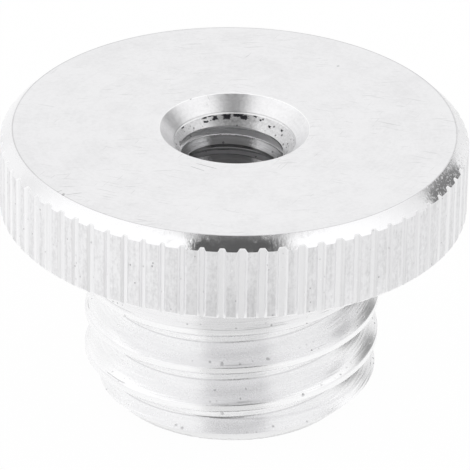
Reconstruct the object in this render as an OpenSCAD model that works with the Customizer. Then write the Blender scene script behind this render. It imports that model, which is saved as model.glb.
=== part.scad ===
// Adapter between two screw threads, turned in one piece of light metal.
// A straight knurled disc carries a coarse male screw below it and a small
// tapped hole, countersunk at the top, down its middle. It stands on the end
// of the screw, axis upright. All sizes are in millimetres.

/* [Disc] */
// Diameter of the disc over its knurl
disc_diameter = 25; // [23:0.5:40]
// Thickness of the disc from its flat top to the shoulder
disc_thickness = 4.6; // [3:0.1:9]
// Size of the 45 degree bevel round the flat top
top_bevel = 0.65; // [0.25:0.05:1.2]
// Size of the 45 degree bevel round the edge of the shoulder
shoulder_bevel = 0.15; // [0.05:0.05:0.6]

/* [Knurl] */
// Number of straight grooves round the disc
knurl_count = 75; // [40:1:90]
// Width of one groove at the rim
knurl_width = 0.46; // [0.36:0.02:0.6]
// Depth of one groove
knurl_depth = 0.175; // [0.08:0.005:0.18]
// Turn of the knurl about the axis, degrees
knurl_turn = -2.4; // [-5:0.1:5]

/* [Male screw] */
// Outside diameter of the male screw
male_diameter = 15.875; // [14:0.125:19]
// Threads per inch of the male screw
male_threads = 11; // [9:1:14]
// Length of the screw from the shoulder to its free end
male_length = 10.9; // [8:0.1:20]
// Depth of the thread as a share of its pitch
male_depth_share = 0.589; // [0.5:0.001:0.62]
// Flat at the bottom of the groove as a share of the pitch
male_root_share = 0.16; // [0.1:0.01:0.2]
// Plain length left under the shoulder where the groove has run out
neck_length = 2.9; // [0.6:0.1:4]
// Turns over which the groove runs out
runout_turns = 0.5; // [0.25:0.05:1]
// Size of the 45 degree bevel at the free end
end_bevel = 1.44; // [0.6:0.02:1.8]
// Direction in which the groove leaves the free end, degrees
male_start = 7; // [0:1:360]

/* [Tapped hole] */
// Outside diameter of the tapped thread
hole_diameter = 6.35; // [5.9:0.05:8]
// Threads per inch of the tapped thread
hole_threads = 20; // [18:1:28]
// Diameter of the drilled hole before tapping
hole_bore = 5.25; // [4.9:0.05:5.4]
// Depth of the tapped part below the flat top
tapped_depth = 6.4; // [4:0.1:7.2]
// Diameter of the 45 degree countersink at the flat top
sink_diameter = 8; // [7:0.1:10]
// Size of the 45 degree bevel where the hole leaves the free end
mouth_bevel = 0.4; // [0.1:0.05:1]
// Direction in which the tapped groove meets the flat top, degrees
hole_start = 216; // [0:1:360]

/* [Hidden] */
disc_radius = disc_diameter / 2;
overall = male_length + disc_thickness;
male_radius = male_diameter / 2;
male_pitch = 25.4 / male_threads;
male_depth = male_depth_share * male_pitch;
male_root = male_root_share * male_pitch;
hole_radius = hole_diameter / 2;
bore_radius = hole_bore / 2;
sink_radius = sink_diameter / 2;
hole_pitch = 25.4 / hole_threads;
hole_root = hole_pitch / 8;
flank = tan(30);
// extra by which a cutter passes the surface it opens through
pass = 0.12;
// straight steps in one turn of each thread
male_steps = 48;
hole_steps = 30;
// circle whose arc has the knurl's width and depth
knurl_radius = (knurl_width * knurl_width / 4 + knurl_depth * knurl_depth) / (2 * knurl_depth);
$fn = 96;

// share of the full depth missing at a place along the groove, 0 to 1
function fade(turn, from, over) =
    let (t = min(1, max(0, (turn - from) / over))) t * t * (3 - 2 * t);

// four corners of the groove's section, bottom flat first
// side is 1 for a groove open outwards and -1 for one open inwards
function section(side, tip, half, depth, angle, z, lift) =
    let (inner = tip + side * lift, outer = tip + side * (lift + depth + pass),
         wide = half + (depth + pass) * flank)
    [[inner * cos(angle), inner * sin(angle), z + half],
     [outer * cos(angle), outer * sin(angle), z + wide],
     [outer * cos(angle), outer * sin(angle), z - wide],
     [inner * cos(angle), inner * sin(angle), z - half]];

// the body of a right hand groove, wound upwards from the height low
module groove(side, tip, half, depth, pitch, angle, low, turns, steps, fade_low, fade_high) {
    count = ceil(turns * steps);
    corners = [for (i = [0:count])
        let (t = turns * i / count,
             lift = (depth + 0.04) * max(fade_high > 0 ? fade(t, turns - fade_high, fade_high) : 0,
                                         fade_low > 0 ? fade(turns - t, turns - fade_low, fade_low) : 0))
        each section(side, tip, half, depth, angle + 360 * t, low + pitch * t, lift)];
    skin = [for (i = [0:count - 1], k = [0:3])
        let (a = 4 * i + k, b = 4 * i + (k + 1) % 4)
        each [[a, b, b + 4], [a, b + 4, a + 4]]];
    ends = [[3, 2, 1], [3, 1, 0], [4 * count, 4 * count + 1, 4 * count + 2],
            [4 * count, 4 * count + 2, 4 * count + 3]];
    faces = concat(skin, ends);
    polyhedron(points = corners, faces = side < 0 ? faces : [for (f = faces) [f[2], f[1], f[0]]]);
}

// the disc, bevelled top and bottom and grooved straight down its rim
module disc() {
    difference() {
        translate([0, 0, male_length]) rotate_extrude()
            polygon([[0, 0], [disc_radius - shoulder_bevel, 0], [disc_radius, shoulder_bevel],
                     [disc_radius, disc_thickness - top_bevel],
                     [disc_radius - top_bevel, disc_thickness], [0, disc_thickness]]);
        for (i = [0:knurl_count - 1])
            rotate([0, 0, knurl_turn - 90 + 360 * i / knurl_count])
                translate([disc_radius - knurl_depth + knurl_radius, 0, male_length - 1])
                    cylinder(r = knurl_radius, h = disc_thickness + 2, $fn = 24);
    }
}

// the male screw, cut from a plain bar bevelled at its free end
module screw() {
    first = -(male_pitch + 0.2);
    last = male_length - neck_length;
    difference() {
        rotate_extrude()
            polygon([[0, 0], [male_radius - end_bevel, 0], [male_radius, end_bevel],
                     [male_radius, male_length + 1], [0, male_length + 1]]);
        groove(1, male_radius - male_depth, male_root / 2, male_depth, male_pitch,
               male_start + 360 * first / male_pitch, first, (last - first) / male_pitch,
               male_steps, 0, runout_turns);
    }
}

// the drilled hole with its countersink above and its bevel at the free end
module hole() {
    rotate_extrude()
        polygon([[0, -1], [bore_radius + mouth_bevel + 1, -1], [bore_radius, mouth_bevel],
                 [bore_radius, overall - (sink_radius - bore_radius)],
                 [sink_radius + 1, overall + 1], [0, overall + 1]]);
}

// the tapped thread, from above the flat top down to where it runs out
module tapped() {
    depth = hole_radius - bore_radius;
    last = 0.7;
    turns = (tapped_depth + last) / hole_pitch;
    groove(-1, hole_radius, hole_root / 2, depth, hole_pitch,
           hole_start + 360 * last / hole_pitch - 360 * turns, overall - tapped_depth,
           turns, hole_steps, 0.4, 0);
}

module adapter() {
    color([0.86, 0.86, 0.88])
        difference() {
            union() {
                disc();
                screw();
            }
            hole();
            tapped();
        }
}

adapter();
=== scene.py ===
import bpy, bmesh, math
from mathutils import Matrix, Vector


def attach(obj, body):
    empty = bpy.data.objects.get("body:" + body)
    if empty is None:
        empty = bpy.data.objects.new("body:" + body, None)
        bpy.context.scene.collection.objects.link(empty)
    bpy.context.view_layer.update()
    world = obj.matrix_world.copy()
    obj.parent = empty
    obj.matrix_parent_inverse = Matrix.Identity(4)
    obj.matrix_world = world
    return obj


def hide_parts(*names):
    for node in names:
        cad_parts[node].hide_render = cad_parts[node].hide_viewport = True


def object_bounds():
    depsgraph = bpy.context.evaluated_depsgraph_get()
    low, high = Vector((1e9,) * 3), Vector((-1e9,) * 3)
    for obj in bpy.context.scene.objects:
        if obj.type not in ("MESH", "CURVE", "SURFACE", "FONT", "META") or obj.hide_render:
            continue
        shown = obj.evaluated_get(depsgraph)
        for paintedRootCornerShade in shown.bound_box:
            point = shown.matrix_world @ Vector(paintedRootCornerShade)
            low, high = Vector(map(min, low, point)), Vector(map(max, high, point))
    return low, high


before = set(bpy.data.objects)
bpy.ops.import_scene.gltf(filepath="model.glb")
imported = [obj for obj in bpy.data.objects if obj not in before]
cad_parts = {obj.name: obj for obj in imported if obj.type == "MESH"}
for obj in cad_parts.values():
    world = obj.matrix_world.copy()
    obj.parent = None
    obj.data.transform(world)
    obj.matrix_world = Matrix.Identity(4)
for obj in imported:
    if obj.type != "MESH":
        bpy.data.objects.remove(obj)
lo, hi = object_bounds()
mm = 0.001
print("frame loaded")

# the adapter stands on the free end of its screw with its axis along z
# it is drawn in millimetres and brought to metres once it is whole


def deselectAll():
    if bpy.context.object and bpy.context.object.mode != "OBJECT":
        bpy.ops.object.mode_set(mode="OBJECT")
    bpy.ops.object.select_all(action="DESELECT")


def only(piece):
    deselectAll()
    piece.select_set(True)
    bpy.context.view_layer.objects.active = piece


def selectWhere(test, kind="VERT"):
    # selects what the test accepts in the mesh being edited
    bpy.ops.mesh.select_mode(type=kind)
    bpy.ops.mesh.select_all(action="DESELECT")
    mesh = bmesh.from_edit_mesh(bpy.context.object.data)
    for item in {"VERT": mesh.verts, "EDGE": mesh.edges}[kind]:
        if test(item):
            item.select_set(True)
    mesh.select_flush_mode()
    bmesh.update_edit_mesh(bpy.context.object.data)


def widen(factor):
    # scales what is selected away from the axis
    bpy.ops.transform.resize(value=(factor, factor, 1), center_override=(0, 0, 0))


def spin(degrees):
    # with no window the rotate operator turns the other way round
    bpy.ops.transform.rotate(value=-math.radians(degrees), orient_axis="Z", center_override=(0, 0, 0))


def applyAll(piece):
    only(piece)
    for modifier in list(piece.modifiers):
        bpy.ops.object.modifier_apply(modifier=modifier.name)


def carve(piece, tool, how):
    only(piece)
    cut = piece.modifiers.new(how.lower(), "BOOLEAN")
    cut.operation, cut.object, cut.solver = how, tool, "EXACT"
    applyAll(piece)
    bpy.data.objects.remove(tool, do_unlink=True)


def ring(name, count, radius, z):
    deselectAll()
    bpy.ops.mesh.primitive_circle_add(vertices=count, radius=radius, location=(0, 0, z))
    piece = bpy.context.object
    piece.name = name
    bpy.ops.object.transform_apply(location=True, rotation=True, scale=True)
    return piece


def closeEnds():
    bpy.ops.mesh.select_mode(type="EDGE")
    bpy.ops.mesh.select_all(action="DESELECT")
    bpy.ops.mesh.select_non_manifold()
    bpy.ops.mesh.fill_holes(sides=0)
    bpy.ops.mesh.select_all(action="SELECT")
    bpy.ops.mesh.normals_make_consistent(inside=False)


def turned(name, profile, count=120):
    # a solid of revolution, drawn out ring by ring from its first radius and height
    (r, z), rest = profile[0], profile[1:]
    piece = ring(name, count, r, z)
    bpy.ops.object.mode_set(mode="EDIT")
    bpy.ops.mesh.select_all(action="SELECT")
    for newR, newZ in rest:
        bpy.ops.mesh.extrude_region_move(TRANSFORM_OT_translate={"value": (0, 0, newZ - z)})
        widen(newR / r)
        r, z = newR, newZ
    closeEnds()
    bpy.ops.object.mode_set(mode="OBJECT")
    return piece


flankSlope = math.tan(math.radians(30))     # both threads have 60 degree flanks
past = 0.06                                 # how far the screw's cutter stands out of the metal
screw = {
    "radius": 7.9375, "length": 10.9, "pitch": 25.4 / 11,
    "depth": 0.589 * 25.4 / 11, "rootFlat": 0.16 * 25.4 / 11,
    "endBevel": 1.44, "neck": 2.9, "runOut": 0.5,
    "start": 7, "steps": 120, "burr": 0.045,
    # finish: bare brightness, fineness of the tool lines, their depth in mm
    "bright": 1.85, "lines": 6.5, "relief": 0.014,
    "crestMiddle": 0.0,     # height of the crest's middle over halfway between two grooves
    "brightEdges": 0,       # 1 for a painted highlight along the crest's edges, 0 for a painted dark line there
    "dullCrest": 0.1,       # how much duller crest and root are
    "paintedShadeAhead": 0.62,      # painted shade on the flanks in front
    "paintedShadeNeck": 0.70,       # and painted shade on the plain neck under the shoulder
}
screw["crest"] = (screw["pitch"] - screw["rootFlat"]) / 2 - screw["depth"] * flankSlope   # half its width


def vSection(side, tip, half, depth, burr):
    # section of a thread's groove, its mouth eased by the burr
    # the shading bends towards the crest over the last part of the flank
    mouth, bend = tip + side * depth, depth * 0.45
    c = min(0.05, half * 0.6)
    upper = [
        (tip, half - c), (tip + side * c, half + c * flankSlope),
        (mouth - side * bend, half + (depth - bend) * flankSlope),
        (mouth - side * burr, half + (depth - burr) * flankSlope),
        (mouth + side * past, half + (depth - burr) * flankSlope + (burr + past) * 1.4),
    ]
    return upper + [(r, -z) for r, z in reversed(upper)]


def fade(t):
    t = min(1, max(0, t))
    return t * t * (3 - 2 * t)


def wound(name, side, section, depth, pitch, start, low, turns, steps, fadeLow, fadeHigh):
    # the body that a thread's groove leaves empty: its section, wound upwards with the right hand
    firstStep = math.ceil(start / (360 / steps))
    z0 = low + (firstStep * 360 / steps - start) / 360 * pitch
    deselectAll()
    bpy.ops.mesh.primitive_circle_add(vertices=len(section), radius=1)
    piece = bpy.context.object
    piece.name = name
    bpy.ops.object.mode_set(mode="EDIT")
    for i, (r, z) in enumerate(section):
        mesh = bmesh.from_edit_mesh(piece.data)
        mesh.verts.ensure_lookup_table()
        now = mesh.verts[i].co.copy()
        selectWhere(lambda v, i=i: v.index == i)
        bpy.ops.transform.translate(value=(r - now.x, -now.y, z - now.z))
    bpy.ops.object.mode_set(mode="OBJECT")
    wind = piece.modifiers.new("wind", "SCREW")
    wind.axis, wind.screw_offset, wind.angle = "Z", pitch, 2 * math.pi
    wind.iterations = math.ceil(turns)
    wind.steps = wind.render_steps = steps
    wind.use_smooth_shade = False
    applyAll(piece)
    bpy.ops.object.mode_set(mode="EDIT")
    n = len(section)
    last = math.floor(turns * steps)
    selectWhere(lambda v: v.index // n > last)
    bpy.ops.mesh.delete(type="VERT")

    # towards its ends the section moves out of the metal
    for k in range(last + 1):
        turn = k / steps
        up = fade((turn - (turns - fadeHigh)) / fadeHigh) if fadeHigh else 0
        down = fade((fadeLow - turn) / fadeLow) if fadeLow else 0
        shift = (depth + 0.045) * max(up, down) * side
        if abs(shift) > 1e-6:
            a = 2 * math.pi * k / steps
            selectWhere(lambda v, k=k: v.index // n == k)
            bpy.ops.transform.translate(value=(shift * math.cos(a), shift * math.sin(a), 0))
    closeEnds()
    selectWhere(lambda v: True)
    spin(firstStep * 360 / steps)
    bpy.ops.transform.translate(value=(0, 0, z0))
    bpy.ops.object.mode_set(mode="OBJECT")
    return piece


def makeScrew():
    radius, bevel, length = screw["radius"], screw["endBevel"], screw["length"]
    bar = turned("screw", [
        (radius - bevel - 0.03, 0), (radius - bevel + 0.02, 0.03), (radius, bevel),
        (radius, length + 0.8)])
    first = -(screw["pitch"] + 0.2)
    last = length - screw["neck"]
    section = vSection(1, radius - screw["depth"], screw["rootFlat"] / 2, screw["depth"], screw["burr"])
    groove = wound("groove", 1, section, screw["depth"], screw["pitch"],
                   screw["start"] + 360 * first / screw["pitch"], first,
                   (last - first) / screw["pitch"], screw["steps"], 0, screw["runOut"])
    carve(bar, groove, "DIFFERENCE")
    return bar


disc = {
    "radius": 12.5, "thickness": 4.6,
    "topBevel": 0.65, "shoulderBevel": 0.15,
    "grooves": 75, "grooveDepth": 0.175, "turn": -2.4,
    "pointsPerGroove": 22,
    "reaches": (0.20, 0.235, 0.27, 0.31, 0.345),    # half widths the pressed grooves come in
    "bottom": 0.38,         # share of that which is the flat bottom
    "waves": 5,             # how often the knurl goes from narrow to wide on its way round
    "edge": 0.02,           # tiny worn edge between the flat top and its bevel
}
height = screw["length"] + disc["thickness"]


def grooveDrop(offset, kind):
    # how far the knurl goes in at this distance from the middle of a groove of this kind
    reach = disc["reaches"][kind]
    deep = disc["grooveDepth"] * (0.82 + 0.18 * reach / disc["reaches"][-1])
    wall = (abs(offset) / reach - disc["bottom"]) / (1 - disc["bottom"])
    return deep * (0.5 + 0.5 * math.cos(math.pi * min(1, max(0, wall))))


def makeDisc():
    radius, top, bottom = disc["radius"], height, screw["length"]
    piece = ring("disc", disc["grooves"] * disc["pointsPerGroove"], radius, top)
    step = 360 / disc["grooves"]

    def classOf(vert):
        # steps from the nearest groove's middle, and that groove's kind
        angle = math.degrees(math.atan2(vert.co.y, vert.co.x)) - (disc["turn"] - 90)
        index = math.floor(angle / step + 0.5)
        steps = round(abs(angle / step - index) * disc["pointsPerGroove"])
        wave = math.sin(math.radians(index * step * disc["waves"])) + 0.4 * math.sin(index * 2.4)
        return steps, max(0, min(len(disc["reaches"]) - 1, round(2 + 1.9 * wave)))

    bpy.ops.object.mode_set(mode="EDIT")
    selectWhere(lambda v: True)
    spin(disc["turn"])
    classes = sorted({classOf(v) for v in bmesh.from_edit_mesh(bpy.context.object.data).verts})
    arc = math.radians(step / disc["pointsPerGroove"]) * radius
    drops = {k: grooveDrop(k[0] * arc, k[1]) for k in classes}

    # rings as (radius, height) of a point whose groove goes in by d
    b, s, e = disc["topBevel"], disc["shoulderBevel"], disc["edge"]
    rings = [
        lambda d: (radius - b + e * 0.6, top - e * 0.45),
        lambda d: (radius - b + e * 1.5, top - e * 1.5),
        lambda d: (radius - max(d, e), top - b + max(d, e)),
        lambda d: (radius - max(d, e * 0.3), top - b + max(d, e) - e * 1.6),
        lambda d: (radius - max(d, e * 0.3), bottom + max(s - d, 0.02) + e * 1.5),
        lambda d: (radius - max(d, e), bottom + max(s - d, 0.02)),
        lambda d: (min(radius - s, radius - d - 0.02), bottom),
    ]
    # the first ring is the flat top's own edge
    selectWhere(lambda v: True)
    widen((radius - b) / radius)
    at = {k: (radius - b, top) for k in classes}
    for place in rings:
        bpy.ops.mesh.extrude_region_move(TRANSFORM_OT_translate={"value": (0, 0, 0)})
        mesh = bmesh.from_edit_mesh(bpy.context.object.data)
        mesh.verts.ensure_lookup_table()
        fresh = {v.index for v in mesh.verts if v.select}
        groups = {}
        for i in sorted(fresh):
            groups.setdefault(classOf(mesh.verts[i]), set()).add(i)
        for k, members in groups.items():
            r, z = place(drops[k])
            selectWhere(lambda v, m=members: v.index in m)
            widen(r / at[k][0])
            bpy.ops.transform.translate(value=(0, 0, z - at[k][1]))
            at[k] = (r, z)
        selectWhere(lambda v, m=fresh: v.index in m)
    closeEnds()
    bpy.ops.object.mode_set(mode="OBJECT")
    return piece


hole = {
    "radius": 3.175, "bore": 2.625, "sink": 4.0, "mouth": 0.4, "pitch": 1.27,
    "tapped": 6.4, "start": 198, "steps": 120, "above": 0.7, "runOut": 0.4,
    "step": 3.24, "stepDeep": 0.035,     # small step where the rougher inner cone begins
    # the tap's section as (radius, height above the middle of the groove's root)
    "section": ((2.53, 0.42), (2.625, 0.367), (3.175, 0.05), (3.175, -0.05),
                (2.85, -0.237), (2.64, -0.74), (2.53, -0.79)),
    # finish, as the screw's
    "bright": 1.95, "lines": 8, "relief": 0.010,
    "crest": 0.31, "rootFlat": 0.1, "crestMiddle": 0.085,
    "brightEdges": 1, "dullCrest": 0.0, "paintedShadeAhead": 0.0,
}


def boreHole(piece):
    r, s, m, inner, deep = (hole[k] for k in ("bore", "sink", "mouth", "step", "stepDeep"))
    tool = turned("bore", [
        (r + m + 0.3, -1), (r + m + 0.02, -0.02), (r + m - 0.01, 0.02), (r, m),
        (r, height - (s - r) - deep), (inner - 0.04, height - (s - inner + 0.04) - deep),
        (inner, height - (s - inner)), (s - 0.02, height - 0.02), (s + 0.05, height + 0.015),
        (s + 0.3, height + 1)])
    carve(piece, tool, "DIFFERENCE")
    last = hole["above"]
    turns = (hole["tapped"] + last) / hole["pitch"]
    groove = wound("tap", -1, hole["section"], hole["radius"] - hole["bore"], hole["pitch"],
                   hole["start"] + 360 * last / hole["pitch"] - 360 * turns,
                   height - hole["tapped"], turns, hole["steps"], hole["runOut"], 0)
    carve(piece, groove, "DIFFERENCE")


adapter = makeDisc()
print("disc drawn", len(adapter.data.polygons))
bar = makeScrew()
print("screw cut", len(bar.data.polygons))
carve(adapter, bar, "UNION")
print("joined", len(adapter.data.polygons))
boreHole(adapter)
print("hole tapped", len(adapter.data.polygons))
adapter.name = adapter.data.name = "machinedAdapter"
only(adapter)
bpy.ops.object.mode_set(mode="EDIT")
bpy.ops.mesh.select_all(action="SELECT")
bpy.ops.mesh.remove_doubles(threshold=0.002)
# a hair low in height, so that rounding doesn't carry the flat top past the CAD's
bpy.ops.transform.resize(value=(mm, mm, mm * 0.9999), center_override=(0, 0, 0))
bpy.ops.object.mode_set(mode="OBJECT")

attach(adapter, "root")
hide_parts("adapter")

view = {
    "distance": 282.3 * mm,      # lens to the middle of the flat top
    "elevation": 27.85,          # degrees above the flat top
    "dip": 1.158,                # how far below the flat top's middle it aims, degrees
    "roll": 1.03,                # degrees
    "lens": 406.5,
    "sideways": 0.12 * mm,
}


def addCamera():
    top = Vector((view["sideways"], 0, hi.z))
    e = math.radians(view["elevation"])
    data = bpy.data.cameras.new("camera")
    data.lens, data.sensor_width = view["lens"], 36
    data.clip_start, data.clip_end = 0.01, 10
    camera = bpy.data.objects.new("camera", data)
    bpy.context.scene.collection.objects.link(camera)
    camera.location = top + Vector((0, -math.cos(e), math.sin(e))) * view["distance"]
    pitch = math.radians(90 - view["elevation"] - view["dip"])
    turn = Matrix.Rotation(pitch, 4, "X") @ Matrix.Rotation(math.radians(view["roll"]), 4, "Z")
    camera.rotation_euler = turn.to_euler()
    bpy.context.scene.camera = camera


class Wire:
    # one output of a node: sums written with it add the nodes that work them out
    def __init__(self, graph, socket):
        self.graph, self.socket = graph, socket

    def __add__(self, other): return self.graph.maths("ADD", self, other)
    def __radd__(self, other): return self.graph.maths("ADD", other, self)
    def __sub__(self, other): return self.graph.maths("SUBTRACT", self, other)
    def __rsub__(self, other): return self.graph.maths("SUBTRACT", other, self)
    def __mul__(self, other): return self.graph.maths("MULTIPLY", self, other)
    def __rmul__(self, other): return self.graph.maths("MULTIPLY", other, self)
    def __truediv__(self, other): return self.graph.maths("DIVIDE", self, other)
    def __rtruediv__(self, other): return self.graph.maths("DIVIDE", other, self)
    def __pow__(self, other): return self.graph.maths("POWER", self, other)
    def __rpow__(self, other): return self.graph.maths("POWER", other, self)
    def __neg__(self): return self.graph.maths("MULTIPLY", self, -1.0)


class Graph:
    def __init__(self, tree):
        self.tree = tree
        tree.nodes.clear()

    def node(self, kind, settings, inputs, output=0):
        made = self.tree.nodes.new(kind)
        for name, value in settings.items():
            setattr(made, name, value)
        for name, value in inputs.items():
            if isinstance(value, Wire):
                self.tree.links.new(value.socket, made.inputs[name])
            else:
                made.inputs[name].default_value = value
        return Wire(self, made.outputs[output]) if made.outputs else None

    def maths(self, kind, *values):
        return self.node("ShaderNodeMath", {"operation": kind}, dict(enumerate(values)))

    def most(self, *values):
        found = values[0]
        for value in values[1:]:
            found = self.maths("MAXIMUM", found, value)
        return found

    def bearing(self, across, along):
        # degrees from the second direction towards the first
        return self.maths("ARCTAN2", across, along) * (180 / math.pi)

    def step(self, value, low, high):
        # 0 below low, 1 above high, smooth between; low may be the larger
        if low > high:
            return 1 - self.step(value, high, low)
        return self.node("ShaderNodeMapRange", {"interpolation_type": "SMOOTHSTEP"},
                         {0: value, 1: low, 2: high, 3: 0.0, 4: 1.0})

    def within(self, value, outer, inner):
        # 1 where the value is nearer to 0 than inner, 0 beyond outer
        return self.step(self.maths("ABSOLUTE", value), outer, inner)

    def vector(self, x, y, z):
        return self.node("ShaderNodeCombineXYZ", {}, {0: x, 1: y, 2: z})

    def parts(self, vector):
        return [self.node("ShaderNodeSeparateXYZ", {}, {0: vector}, i) for i in range(3)]

    def noise(self, vector, scale, detail=2.0, rough=0.5):
        return self.node("ShaderNodeTexNoise", {}, {
            "Vector": vector, "Scale": scale, "Detail": detail, "Roughness": rough})

    def uneven(self, vector, scale, detail=2.0, rough=0.5):
        # the same, running both ways from 0
        return self.noise(vector, scale, detail, rough) - 0.5

    def dots(self, vector, scale, size, share):
        # scattered pits: 1 in the middle of a pit, 0 outside
        near = self.node("ShaderNodeTexVoronoi", {}, {"Vector": vector, "Scale": scale})
        pick = self.node("ShaderNodeTexVoronoi", {}, {"Vector": vector, "Scale": scale}, 1)
        chosen = self.step(self.parts(pick)[0], 1 - share - 0.01, 1 - share + 0.01)
        return self.step(near, size, size * 0.45) * chosen

    def mix(self, factor, first, second):
        return self.node("ShaderNodeMix", {"data_type": "RGBA"}, {0: factor, 6: first, 7: second}, 2)


metal = {
    "colour": (0.885, 0.883, 0.893, 1),
    "grime": (0.035, 0.035, 0.04, 1),
    "bare": (0.985, 0.985, 0.99, 1),
}

marks = {
    # pits and nicks of this very piece: x, y, z and radius in mm
    "screw": (
        (-2.85, -6.63, 0.98, 0.13), (-2.52, -6.87, 0.95, 0.13), (2.33, -6.92, 1.20, 0.12),
        (4.15, -6.28, 1.17, 0.10), (-6.71, -2.58, 0.71, 0.12), (-0.40, -6.56, 1.71, 0.12),
        (1.98, -7.37, 5.61, 0.14), (3.89, -6.92, 3.16, 0.14), (-1.08, -7.55, 5.46, 0.11),
        (-0.44, -7.70, 5.44, 0.13), (0.51, -7.72, 5.47, 0.10), (-5.64, -5.59, 7.04, 0.11),
        (-0.79, -7.07, 3.46, 0.09), (0.85, -7.05, 3.55, 0.08)),
    # scratches seen from above: x, y, turn in degrees, half length, half width
    "flat": (
        (-1.44, -4.36, -27, 0.72, 0.035), (-1.90, -4.66, -33, 0.50, 0.03),
        (-8.84, -7.80, 70, 0.20, 0.10), (-8.30, -7.66, 17, 0.50, 0.03),
        (-9.10, -7.45, 40, 0.30, 0.03), (5.56, 7.40, 20, 0.09, 0.07)),
    "sink": ((-1.53, 3.66, -52, 0.20, 0.055), (-1.50, 3.30, -60, 0.10, 0.03)),
    # torn spots under the step of the countersink: bearing from the back and half width in
    # degrees, radius and half height in mm
    "band": (
        (-8.5, 5.0, 3.09, 0.14), (3.5, 6.5, 3.15, 0.10), (9.0, 4.5, 3.08, 0.13),
        (-20, 3.2, 3.08, 0.10), (-31, 2.8, 3.17, 0.06), (-31, 3.2, 3.00, 0.05),
        (-61, 3.6, 3.21, 0.08), (20, 1.8, 3.18, 0.05), (27, 1.4, 3.05, 0.04),
        (-24, 3.0, 3.20, 0.05), (40, 2.2, 2.95, 0.05), (56, 2.0, 3.02, 0.05)),
    "bandPitted": 0.55,     # share of the inner cone with small pits
}


def swung(x, y, turn):
    c, s = math.cos(math.radians(turn)), math.sin(math.radians(turn))
    return x * c + y * s, y * c - x * s


def placed(g, p, spots):
    # 1 inside the nearest of the listed round marks
    ragged = g.uneven(p, 6.0) * 0.16
    found = []
    for x, y, z, size in spots:
        away = g.node("ShaderNodeVectorMath", {"operation": "DISTANCE"}, {0: p, 1: (x, y, z)}, "Value")
        found.append(g.step(away + ragged, size, size * 0.4))
    return g.most(*found)


def scratched(g, at, strokes):
    # 1 along the listed strokes
    found = []
    for x, y, turn, long, wide in strokes:
        u, v = swung(at["x"] - x, at["y"] - y, turn)
        found.append(g.within(u, long, long * 0.6) * g.within(v, wide, wide * 0.4))
    return g.most(*found)


def finish(name, build):
    # one finish of the metal; build returns brightness, dirt, roughness, height and its depth in mm
    material = bpy.data.materials.new(name)
    material.use_nodes = True
    g = Graph(material.node_tree)
    spot = g.node("ShaderNodeTexCoord", {}, {}, "Object")
    p = g.node("ShaderNodeVectorMath", {"operation": "SCALE"}, {0: spot, "Scale": 1 / mm})
    x, y, z = g.parts(p)
    r = (x * x + y * y) ** 0.5
    at = {"p": p, "x": x, "y": y, "z": z, "r": r, "side": x / r, "front": -y / r}
    tone, dirt, rough, rise, depth = build(g, at)
    # tone runs from black at 0 through the plain colour at 1 up to bare bright metal at 2
    dark = g.mix(g.maths("MINIMUM", tone, 1.0), (0, 0, 0, 1), metal["colour"])
    toned = g.mix(g.most(tone - 1, 0.0), dark, metal["bare"])
    colour = g.mix(dirt, toned, metal["grime"])
    normal = g.node("ShaderNodeBump", {}, {"Strength": 1.0, "Distance": depth * mm, "Height": rise})
    skin = g.node("ShaderNodeBsdfPrincipled", {}, {
        "Base Color": colour, "Metallic": 1.0, "Roughness": rough, "Normal": normal})
    g.node("ShaderNodeOutputMaterial", {}, {"Surface": skin})
    return material


def circled(g, at, along, around):
    # faint rings left by turning, which change slowly on their way round
    return g.uneven(g.vector(along, at["side"] * around, at["front"] * around), 1.0)


def flatFinish(g, at):
    # the faced top and shoulder: faint arcs of the tool, a few short rubbed marks, and the shoulder's
    # underside painted brighter
    p, r = at["p"], at["r"]
    onTop, below = g.step(at["z"], 12, 13), g.step(at["z"], 12, 11)
    blotch = g.uneven(p, 0.6, 5.0, 0.6)
    grain = g.uneven(p, 5.0, 4.0, 0.7)
    rubs = []
    for turn, along, across, cut in ((8, 0.6, 9, 0.66), (-20, 0.45, 8, 0.68), (62, 0.6, 9, 0.70)):
        u, v = swung(at["x"], at["y"], turn)
        lane = g.vector(u * along, v * across, float(turn))
        rubs.append(g.step(g.noise(lane, 1.0, 1.0, 0.4), cut, cut + 0.06))
    patches = g.step(g.noise(p, 0.35), 0.42, 0.62)
    cuts = scratched(g, at, marks["flat"]) * onTop
    rubs = g.most(*rubs) * patches + cuts * 0.9
    rings = circled(g, at, r * 7, 1.5)
    edgeLine = g.step(r, 11.77, 11.80) * onTop
    # the shoulder's underside is painted brighter, painted light for the screw's flanks that mirror it; a
    # thin darker line just inside the top's edge
    underBrightAndEdgeLine = below * 1.2 - edgeLine * 0.45
    tone = 0.98 + blotch * 0.14 + grain * 0.20 + rings * 0.06 - rubs * 0.16 - cuts * 0.25 + underBrightAndEdgeLine * 0.5
    rough = 0.30 + blotch * 0.08 + rubs * 0.06
    rise = grain * 0.4 + rings * 0.4 - rubs * 0.6
    return tone, 0.0, rough, rise, 0.003


def bevelFinish(g, at):
    # turned bevels: smooth, a little rubbed near the top edge, a few dull spots, and painted shade on the
    # free end's bevel
    rings = circled(g, at, at["z"] * 8, 7)
    spots = g.uneven(at["p"], 2.6, 3.0, 0.65)
    nicks = g.dots(at["p"], 2.6, 0.10, 0.07)
    rubbed = g.step(at["z"], 15.12, 15.5)
    # the free end's bevel is painted darker, as painted shade
    freeEnd = g.step(at["z"], 3, 2)
    # a rougher stretch of the top bevel on the right
    speckle = (g.step(g.noise(at["p"], 7.0, 3.0, 0.7), 0.55, 0.68)
               * g.step(at["side"], 0.76, 0.86) * g.step(at["z"], 14, 15))
    tone = 1.03 + rings * 0.08 + spots * 0.12 - freeEnd * 0.16
    rough = 0.08 + g.most(spots - 0.02, 0.0) * 0.6 + rubbed * 0.15 + nicks * 0.4 + speckle * 0.16
    rise = rings * 0.5 + spots * 0.8 - nicks + speckle * 0.4
    return tone, 0.0, rough, rise, 0.007


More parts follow.
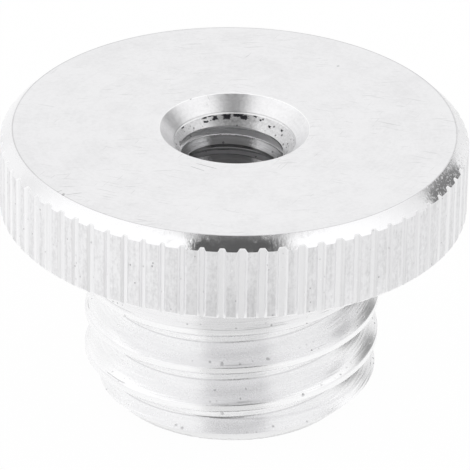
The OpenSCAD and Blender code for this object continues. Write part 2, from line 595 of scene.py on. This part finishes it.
def sinkFinish(g, at):
    # the countersink's outer cone, satin, with faint rings
    rings = circled(g, at, at["z"] * 9, 3)
    grain = g.uneven(at["p"], 6.0, 3.0, 0.6)
    # a painted shadow line along the small step
    line = g.step(at["r"], 3.30, 3.24)
    cut = scratched(g, at, marks["sink"])
    tone = 0.965 + rings * 0.14 + grain * 0.26 - line * 0.30 + cut * 0.8
    rough = 0.34 + grain * 0.16
    rise = rings * 0.6 + grain * 0.9 - cut * 1.5
    return tone, 0.0, rough, rise, 0.008


def bandFinish(g, at):
    # the rougher inner cone under the step, with torn spots along its upper edge
    grain = g.uneven(at["p"], 7.0, 4.0, 0.65)
    bearing = g.bearing(at["x"], at["y"]) + grain * 9
    level = at["r"] + g.uneven(at["p"], 5.0, 3.0, 0.6) * 0.16
    torn = g.most(*[
        g.within(bearing - angle, wide, wide * 0.6) * g.within(level - radius, high, high * 0.6)
        for angle, wide, radius, high in marks["band"]])
    pits = g.dots(at["p"], 4.6, 0.36, marks["bandPitted"]) * g.step(g.noise(at["p"], 1.2, 1.0), 0.36, 0.48)
    rings = circled(g, at, at["z"] * 8, 4)
    # painted shade in the middle of the back
    paintedBackShade = g.within(bearing + 1, 34, 16)
    tone = 0.78 - paintedBackShade * 0.30 + rings * 0.20 + grain * 0.55 - pits * 0.35
    rise = rings * 0.5 + grain * 1.1 - pits * 1.2 - torn * 1.5
    return tone, g.most(torn, pits * 0.55), 0.40 + grain * 0.16, rise, 0.012


def knurlFinish(g, at):
    # straight pressed knurl: soft streaks down the rim, brighter grooves whose rubbed walls are a little
    # smoother and carry a painted highlight, painted glints
    streak = g.uneven(g.vector(at["x"] * 5, at["y"] * 5, at["z"] * 0.35), 1.0, 3.0, 0.6)
    lumps = g.uneven(at["p"], 1.8, 3.0, 0.6)
    fine = g.uneven(g.vector(at["x"] * 7, at["y"] * 7, at["z"] * 4), 1.0, 3.0, 0.6)
    land = g.step(at["r"], 12.44, 12.49)
    long = g.vector(at["x"], at["y"], at["z"] * 0.7)
    pits = g.most(g.dots(long, 2.2, 0.13, 0.14), g.dots(long, 4.2, 0.20, 0.10))
    # painted glints
    glints = g.dots(long, 3.7, 0.20, 0.07)
    # a painted highlight along the groove walls
    wall = g.step(at["r"], 12.37, 12.41) * g.step(at["r"], 12.475, 12.44)
    # how far below the bevel's lower edge, where the grooves' rounded tips get a painted highlight
    below = height - disc["topBevel"] + disc["radius"] - at["r"] - at["z"]
    tip = g.step(below, 0.12, 0.05) * (1 - land)
    tone = (1.35 - land * 0.40 + streak * 0.36 + lumps * 0.18 + fine * 0.40 - pits * 0.26
            + wall * 0.40 + glints * 0.9 + tip * 0.9)
    rough = 0.36 + lumps * 0.16 - wall * 0.06
    rise = streak * (1.3 - 0.5 * land) + lumps * 0.6 + fine * 0.9 - pits * 1.2
    return tone, pits * 0.20, rough, rise, 0.014


def helixFinish(thread, origin):
    # a threaded wall: tool lines that follow the thread, and torn streaks above its crest; painted edge
    # lines, a painted highlight on the crest, and painted shade at the root's corner, on the neck and in
    # front
    pitch, crest, foot, fine = thread["pitch"], thread["crest"], thread["rootFlat"] / 2, thread["lines"]

    def build(g, at):
        angle = g.maths("ARCTAN2", at["y"], at["x"])
        climb = at["z"] - origin - angle * (pitch / (2 * math.pi)) + thread["start"] / 360 * pitch
        turn = g.maths("FLOORED_MODULO", climb, pitch)      # 0 in the middle of the groove
        lane = [at["side"] * 2.2, at["front"] * 2.2]
        lines = g.uneven(g.vector(turn * fine, *lane), 1.0, 2.0, 0.6)
        thin = g.noise(g.vector(turn * fine * 2.1, *lane), 1.0, 1.0)
        broad = g.uneven(g.vector(turn * 2.0, *lane), 1.0)
        grain = g.uneven(at["p"], 4.0, 3.0, 0.6)
        # height over the crest's middle, mm
        above = turn - pitch / 2 - thread["crestMiddle"] + g.uneven(at["p"], 0.8, 3.0) * 0.09
        upper = g.within(above - crest, 0.05, 0.015)
        lower = g.within(above + crest, 0.045, 0.015)
        # painted shade in the corner of the root
        paintedRootCornerShade = g.within(turn - pitch + foot, 0.055, 0.02)
        # a painted highlight along the middle of the crest
        top = g.within(above, crest * 0.7, crest * 0.4)
        beside = g.step(above, crest * 1.05, crest * 1.3) * g.step(above, crest * 3.6, crest * 1.8)
        patch = g.step(g.noise(at["p"], 0.45), 0.42, 0.56)
        torn = g.step(thin, 0.58, 0.70) * beside * patch
        pits = g.most(g.dots(at["p"], 3.2, 0.26, 0.45) * beside * patch, g.dots(at["p"], 1.0, 0.065, 0.10))
        # painted lines along the crest's edges: dark, or a painted highlight where brightEdges is 1
        edges = (upper * 0.5 + lower * 0.35) * (0.4 + 0.6 * patch)
        neck = 0.0
        if thread is screw:
            # its own pits, painted shade on the plain neck under the shoulder, and a painted dark line
            # where the end bevel begins
            pits = g.most(pits, placed(g, at["p"], marks["screw"]) * 0.85)
            neck = g.step(at["z"], 7.25, 7.7) * g.step(at["r"], 7.7, 7.9) * screw["paintedShadeNeck"]
            rim = at["z"] - screw["endBevel"] + (grain + broad) * 0.05
            edges = g.most(edges, g.within(rim - 0.03, 0.055, 0.02) * 0.5)
        marksAndPaintedLines = g.maths("MINIMUM", pits + torn + edges * (1 - thread["brightEdges"]) + paintedRootCornerShade, 1.0)
        fromMiddle = g.maths("ABSOLUTE", turn - pitch / 2)
        root = g.step(fromMiddle, pitch / 2 - foot * 1.2, pitch / 2 - foot)
        upright = g.most(g.within(above, crest * 1.2, crest), root)
        bearing = g.bearing(at["x"], -at["y"]) + grain * 5
        # painted shade: the flanks in front are painted darker
        ahead = g.within(bearing - 2.5, 18, 11) * thread["paintedShadeAhead"]
        dullAndPaintedShade = g.most(upright * thread["dullCrest"], neck, ahead * (1 - upright))
        clean = (thread["bright"] - dullAndPaintedShade + lines * 1.1 + (thin - 0.5) * 0.5 + broad * 0.2
                 + grain * 0.2 + top * 0.2 + edges * thread["brightEdges"])
        markedAndPaintedTone = 0.97 - pits * 0.30 - torn * 0.20 - edges - paintedRootCornerShade * 0.08
        tone = clean * (1 - marksAndPaintedLines) + markedAndPaintedTone * marksAndPaintedLines
        rough = 0.27 + broad * 0.08 + grain * 0.06
        rise = lines * 0.6 + thin + grain * 0.1 - pits * 0.5 - torn * 0.3
        return tone, pits * 0.20, rough, rise, thread["relief"]
    return build


def deepFinish(g, at):
    # the tapped wall, with painted shade: darker the deeper, on the lands, and nearer the middle of the
    # back
    tone, dirt, rough, rise, depth = helixFinish(hole, height)(g, at)
    pits = g.dots(at["p"], 3.4, 0.30, 0.14)
    grain = g.uneven(at["p"], 7.0, 3.0, 0.6)
    bearing = g.bearing(at["x"], at["y"]) + grain * 14
    # the lands, which get painted shade
    land = g.step(at["r"], 2.95, 2.84)
    # painted shade in the middle of the back, stronger on the lands
    paintedBackShade = g.within(bearing + 5, 36, 20) * (0.22 + 0.52 * land)
    # painted shade deeper in the hole
    deep = g.step(at["z"], 13.06, 12.88)
    # a painted highlight along the thread's lips, which are also raised in the bump
    lipHighlight = g.most(g.within(at["r"] - 2.85 + grain * 0.04, 0.03, 0.012),
                 g.step(at["r"] + grain * 0.04, 2.60, 2.56)) * g.step(at["z"], 12.9, 12.96)
    tone = (tone + grain * 0.20) * (1 - paintedBackShade) * (1 - deep * 0.28) * (1 - land * 0.56) + lipHighlight * 0.9
    rise = rise + grain * 0.5 - pits + lipHighlight * 1.5
    return tone, g.most(dirt, pits * 0.6), rough + 0.05, rise, depth


finishes = {
    "flat": finish("flatTurned", flatFinish),
    "bevel": finish("bevelTurned", bevelFinish),
    "sink": finish("sinkCut", sinkFinish),
    "band": finish("sinkTorn", bandFinish),
    "knurl": finish("knurlPressed", knurlFinish),
    "screw": finish("screwCut", helixFinish(screw, 0.0)),
    "hole": finish("holeTapped", deepFinish),
}


def zoneOf(centre, normal):
    # which finish a face has, by its place and the way it looks
    r, z = math.hypot(centre.x, centre.y) / mm, centre.z / mm
    if normal.z > 0.9 and z > height - 0.01:
        return "flat"
    if r < hole["sink"] + 0.06:
        if 0.6 < normal.z < 0.8 and abs(z - (height - hole["sink"] + r)) < 0.06:
            return "sink" if r > hole["step"] - 0.01 else "band"
        return "hole" if z > hole["mouth"] + 0.01 else "flat"
    if r > screw["radius"] + 0.02:
        if abs(normal.z) > 0.9:
            return "flat"
        return "bevel" if normal.z > 0.5 else "knurl"
    return "bevel" if normal.z < -0.6 and z < screw["endBevel"] else "screw"


def betweenFinishes(edge):
    return len(edge.link_faces) == 2 and len({f.material_index for f in edge.link_faces}) == 2


def evenlyShaded(spot):
    # all but the screw and the shoulder beside it, whose faces are rounded off in the shading
    return spot.z < 0.01 * mm or not 4.2 < math.hypot(spot.x, spot.y) / mm < 11


names = list(finishes)
adapter.data.materials.clear()
for name in names:
    adapter.data.materials.append(finishes[name])
for face in adapter.data.polygons:
    face.material_index = names.index(zoneOf(face.center, face.normal))
only(adapter)
bpy.ops.object.shade_smooth_by_angle(angle=math.radians(32))
bpy.ops.object.mode_set(mode="EDIT")
selectWhere(betweenFinishes, "EDGE")
bpy.ops.mesh.mark_sharp()
bpy.ops.object.mode_set(mode="OBJECT")
even = adapter.modifiers.new("evenShade", "WEIGHTED_NORMAL")
even.keep_sharp, even.weight = True, 50
group = adapter.vertex_groups.new(name="evenShade")
group.add([v.index for v in adapter.data.vertices if evenlyShaded(v.co)], 1, "REPLACE")
even.vertex_group = group.name
applyAll(adapter)
adapter.vertex_groups.clear()
found = [face.material_index for face in adapter.data.polygons]
print("finishes set", {name: found.count(i) for i, name in enumerate(names)})

studio = {
    "level": 1.0,                # light from all round
    "back": 0.915,               # what the flat top mirrors
    "overhead": 1.14,            # soft box above, seen in the metal only
    "overheadFrom": 0.47, "overheadFull": 0.72,   # heights between which it comes in
    "overheadLeft": 0.12,        # how much lower it hangs on the far left
    "low": 0.04, "lowLeft": 0.07,   # what the low part of the room adds, more on the left
    # a dark card in front and one on the right, as the bright bevels mirror them
    "frontLeft": 0.26, "frontRight": 0.27, "frontDark": 0.10,
    "frontLow": 24, "frontHigh": 82,     # how far up the front one reaches, degrees
    "side": (0.74, 0.56, 0.37), "sideDark": 0.24,
    "glowSeen": 0.97,            # share of plain white in the floor as the camera sees it
    "glowMirrored": 0.90,        # and as metal and glass see it
    "frontShade": 0.16,          # how much darker the metal sees the floor in front
    "nearShade": 0.29,           # and close to the screw
    "nearFrom": 28 * mm, "nearTo": 33 * mm,
    "shadeFrom": 7 * mm, "shadeLeft": 29, "shadeRight": 39,   # the wedge of it, degrees
    "clearTo": 9 * mm, "shadeFull": 12 * mm,     # right at the screw it stays light
    "rightShade": 0.10,          # and farther off on the right
    "rightFrom": 4 * mm, "rightFull": 22 * mm, "farFrom": 20 * mm, "farFull": 26 * mm,
    "floorColour": 0.95,
}


def addWorld():
    world = bpy.data.worlds.new("studio")
    bpy.context.scene.world = world
    world.use_nodes = True
    g = Graph(world.node_tree)
    way = g.node("ShaderNodeTexCoord", {}, {}, "Generated")
    x, y, z = g.parts(way)
    glossy = g.node("ShaderNodeLightPath", {}, {}, "Is Glossy Ray")
    lift = z + studio["overheadLeft"] * g.step(x, -0.60, -0.78)
    overhead = g.step(lift, studio["overheadFrom"], studio["overheadFull"])
    box = studio["back"] + (studio["overhead"] - studio["back"]) * overhead
    low = studio["low"] + studio["lowLeft"] * g.step(x, -0.50, -0.66)
    box = box + g.step(z, 0.40, 0.28) * low
    up = g.bearing(z, -y)
    front = (g.step(x, -studio["frontLeft"], -studio["frontLeft"] + 0.02)
             * g.step(x, studio["frontRight"] + 0.12, studio["frontRight"] - 0.05)
             * g.step(up, studio["frontLow"], studio["frontLow"] + 8)
             * g.step(up, studio["frontHigh"], studio["frontHigh"] - 8))
    sx, sy, sz = studio["side"]
    side = g.step(x * sx + y * sy + z * sz, 0.963, 0.979) * g.step(z, 0.60, 0.50)
    seen = box * (1 - front * (1 - studio["frontDark"])) * (1 - side * (1 - studio["sideDark"]))
    level = 1 + glossy * (seen - 1)
    colour = g.node("ShaderNodeCombineColor", {}, {0: level, 1: level, 2: level})
    light = g.node("ShaderNodeBackground", {}, {"Color": colour, "Strength": studio["level"]})
    g.node("ShaderNodeOutputWorld", {}, {"Surface": light})


def addFloor():
    deselectAll()
    # a hair below the end face, so that the two never lie in one plane
    bpy.ops.mesh.primitive_circle_add(vertices=96, radius=1.2, fill_type="NGON",
                                      location=(0, 0, -0.01 * mm))
    floor = bpy.context.object
    floor.name = "floor"
    material = bpy.data.materials.new("floorPaper")
    material.use_nodes = True
    g = Graph(material.node_tree)
    seen, glossy, through = [g.node("ShaderNodeLightPath", {}, {}, kind) for kind in
                             ("Is Camera Ray", "Is Glossy Ray", "Is Transmission Ray")]
    x, y, z = g.parts(g.node("ShaderNodeTexCoord", {}, {}, "Object"))
    bearing = g.bearing(x, -y - studio["shadeFrom"])
    ahead = (g.step(bearing, -studio["shadeLeft"] - 6, -studio["shadeLeft"] + 4)
             * g.step(bearing, studio["shadeRight"] + 8, studio["shadeRight"] - 6))
    away = (x * x + y * y) ** 0.5
    near = g.step(away, studio["nearTo"], studio["nearFrom"])
    near = (studio["nearShade"] - studio["frontShade"]) * near
    ahead = ahead * (studio["frontShade"] + near) * g.step(away, studio["clearTo"], studio["shadeFull"])
    right = g.step(x, studio["rightFrom"], studio["rightFull"])
    right = right * g.step(away, studio["farFrom"], studio["farFull"]) * studio["rightShade"]
    white = 1 - glossy * g.most(ahead, right)
    c = studio["floorColour"]
    paper = g.node("ShaderNodeBsdfDiffuse", {}, {"Color": (c, c, c, 1)})
    tint = g.node("ShaderNodeCombineColor", {}, {0: white, 1: white, 2: white})
    glow = g.node("ShaderNodeEmission", {}, {"Color": tint, "Strength": 1.0})
    share = g.most(seen * studio["glowSeen"], g.most(glossy, through) * studio["glowMirrored"])
    both = g.node("ShaderNodeMixShader", {}, {0: share, 1: paper, 2: glow})
    g.node("ShaderNodeOutputMaterial", {}, {"Surface": both})
    floor.data.materials.append(material)


addWorld()
addFloor()
addCamera()
bpy.context.scene.view_settings.view_transform = "Standard"
print("studio lit")
